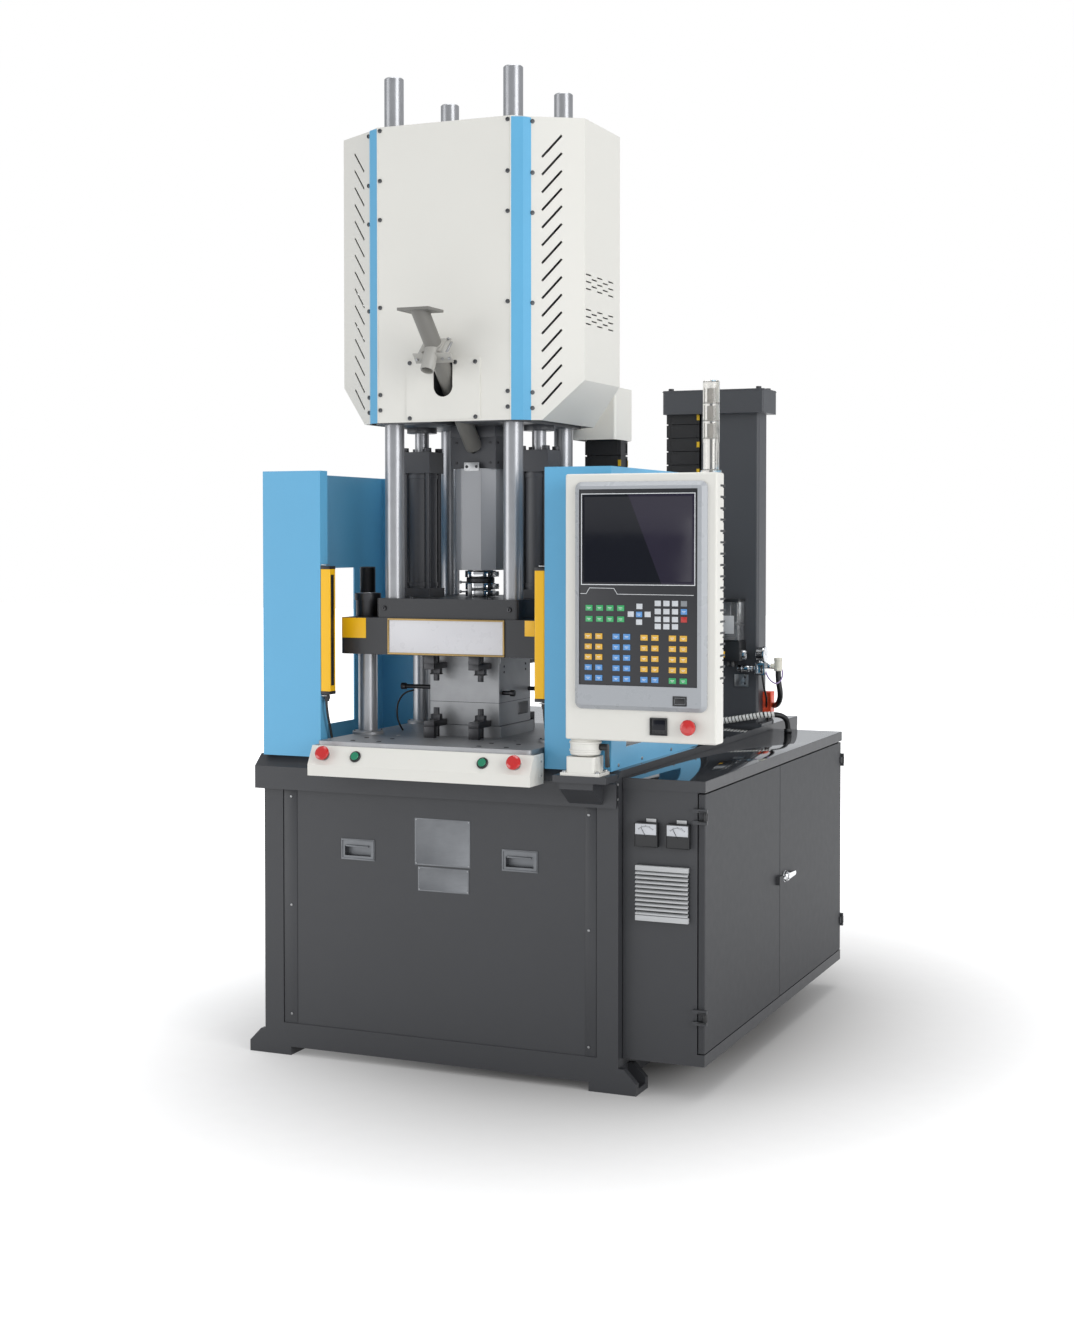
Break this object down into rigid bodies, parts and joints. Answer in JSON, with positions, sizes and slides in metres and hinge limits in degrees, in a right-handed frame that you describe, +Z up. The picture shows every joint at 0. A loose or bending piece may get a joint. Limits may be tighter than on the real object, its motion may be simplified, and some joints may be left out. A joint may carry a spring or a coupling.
{
  "type": "injection moulding machine",
  "caption": "Vertical injection moulding machine with a sliding platen, lifting injection carriage under a folded hood, feed chute, control panel, cabinet and drag chain.",
  "frame": {"origin": "Centre of the four floor anchor holes, at floor level.", "axes": "+X is to the operator's right, +Y runs from the operator's side to the rear, +Z is up along the clamp and injection axis."},
  "size_m": [1.415, 1.8531, 2.729],
  "materials": {
    "blue_paint": "Satin light blue powder coat",
    "black_paint": "Satin black paint",
    "pale_grey_paint": "Satin pale grey powder coat",
    "white_paint": "Smooth off-white powder coat",
    "dark_paint": "Dark grey satin paint",
    "grey_paint": "Mid grey textured powder coat",
    "black_gloss": "Glossy black paint",
    "yellow_paint": "Satin yellow powder coat",
    "ground_steel": "Ground tool steel",
    "hard_chrome": "Polished hard chrome",
    "shield_metal": "Matt folded sheet",
    "silver_frame": "Satin silver frame",
    "black_plastic": "Moulded black plastic",
    "red_plastic": "Glossy red plastic",
    "green_plastic": "Glossy green plastic",
    "clear_plastic": "Cloudy moulded plastic",
    "lens_plastic": "Tinted lamp lens",
    "brass_fitting": "Machined brass",
    "black_rubber": "Smooth black hose cover",
    "wrapped_sleeve": "Pale spiral wrapped sleeve"
  },
  "bodies": {
    "machine_base": {"base_frame": "dark_paint", "front_cover": "dark_paint", "flush_pulls": "silver_frame", "side_and_rear_covers": "dark_paint", "deck": "dark_paint", "fixed_platen": "ground_steel", "button_box": "white_paint", "left_guard": "blue_paint", "right_guard": "blue_paint", "light_curtains": "yellow_paint", "curtain_cables": "black_rubber", "lower_mould": "ground_steel", "clamp_cylinder": "dark_paint", "cabinet_shell": "dark_paint", "cabinet_lid": "dark_paint", "louvre_grille": "pale_grey_paint", "panel_meters": "black_plastic", "cable_tower": "black_paint", "drag_chain": "black_plastic", "panel_post": "white_paint", "oil_tank": "grey_paint", "pump_motor": "grey_paint", "grease_unit": "clear_plastic", "pressure_gauge": "brass_fitting", "pressure_hose": "black_rubber", "wrapped_cable": "wrapped_sleeve"},
    "left_stop": {"left_stop_button": "red_plastic"},
    "right_stop": {"right_stop_button": "red_plastic"},
    "left_start": {"left_start_button": "green_plastic"},
    "right_start": {"right_start_button": "green_plastic"},
    "front_door": {"cabinet_front_door": "dark_paint"},
    "rear_door": {"cabinet_rear_door": "dark_paint"},
    "latch": {"door_lever": "hard_chrome"},
    "panel": {"panel_housing": "white_paint", "panel_bezel": "silver_frame", "signal_lamp": "lens_plastic"},
    "panel_stop": {"panel_stop_button": "red_plastic"},
    "post_clamp": {"clamp_lever": "black_plastic"},
    "platen": {"upper_mould": "ground_steel", "moving_platen": "black_paint", "platen_head_block": "black_paint", "tie_bars": "hard_chrome", "clamp_crosshead": "ground_steel", "guide_columns": "hard_chrome", "carriage_cylinders": "black_paint"},
    "carriage": {"carriage_plate": "black_paint", "feed_block": "black_paint", "barrel": "ground_steel", "heat_shield": "shield_metal", "nozzle": "ground_steel", "injection_cylinders": "black_gloss", "hood_shell": "white_paint", "hood_corner_trims": "blue_paint", "hood_front_panel": "white_paint", "hood_hatch": "white_paint", "feed_chute": "shield_metal"},
    "thrust": {"thrust_plate": "ground_steel", "screw_motor": "dark_paint"},
    "screw": {"injection_screw": "ground_steel"},
    "gate": {"chute_gate": "ground_steel"}
  },
  "joints": [
    {"name": "platen_lift", "type": "slide", "parent": "machine_base", "child": "platen", "axis": [0, 0, 1], "range_m": [0, 0.19], "deforming": ["drag_chain"]},
    {"name": "carriage_lift", "type": "slide", "parent": "platen", "child": "carriage", "axis": [0, 0, 1], "range_m": [0, 0.12]},
    {"name": "injection_slide", "type": "slide", "parent": "carriage", "child": "thrust", "axis": [0, 0, 1], "range_m": [0, 0.12]},
    {"name": "screw_spin", "type": "hinge", "parent": "thrust", "child": "screw", "pos_m": [0, -0.564, 1.8], "axis": [0, 0, 1], "continuous": true},
    {"name": "gate_slide", "type": "slide", "parent": "carriage", "child": "gate", "axis": [-1, 0, 0], "range_m": [0, 0.044]},
    {"name": "panel_swivel", "type": "hinge", "parent": "machine_base", "child": "panel", "pos_m": [0.463, -0.9185, 1.2], "axis": [0, 0, 1], "range_deg": [-90, 0]},
    {"name": "post_clamp_turn", "type": "hinge", "parent": "panel", "child": "post_clamp", "pos_m": [0.52, -0.9185, 0.915], "axis": [1, 0, 0], "range_deg": [-60, 60]},
    {"name": "front_door_hinge", "type": "hinge", "parent": "machine_base", "child": "front_door", "pos_m": [0.763, -0.8375, 0.46], "axis": [0, 0, 1], "range_deg": [-110, 0]},
    {"name": "rear_door_hinge", "type": "hinge", "parent": "machine_base", "child": "rear_door", "pos_m": [0.763, 0.5765, 0.46], "axis": [0, 0, 1], "range_deg": [0, 110]},
    {"name": "door_latch_turn", "type": "hinge", "parent": "rear_door", "child": "latch", "pos_m": [0.76, -0.0915, 0.465], "axis": [1, 0, 0], "range_deg": [-90, 0]},
    {"name": "left_stop_press", "type": "slide", "parent": "machine_base", "child": "left_stop", "axis": [0, 0.8799, -0.4752], "range_m": [0, 0.004], "stiffness_N_per_m": 500, "springref_m": -0.002},
    {"name": "right_stop_press", "type": "slide", "parent": "machine_base", "child": "right_stop", "axis": [0, 0.8799, -0.4752], "range_m": [0, 0.004], "stiffness_N_per_m": 500, "springref_m": -0.002},
    {"name": "left_start_press", "type": "slide", "parent": "machine_base", "child": "left_start", "axis": [0, 0.8799, -0.4752], "range_m": [0, 0.003], "stiffness_N_per_m": 500, "springref_m": -0.002},
    {"name": "right_start_press", "type": "slide", "parent": "machine_base", "child": "right_start", "axis": [0, 0.8799, -0.4752], "range_m": [0, 0.003], "stiffness_N_per_m": 500, "springref_m": -0.002},
    {"name": "panel_stop_press", "type": "slide", "parent": "panel", "child": "panel_stop", "axis": [0, 1, 0], "range_m": [0, 0.004], "stiffness_N_per_m": 500, "springref_m": -0.002}
  ]
}
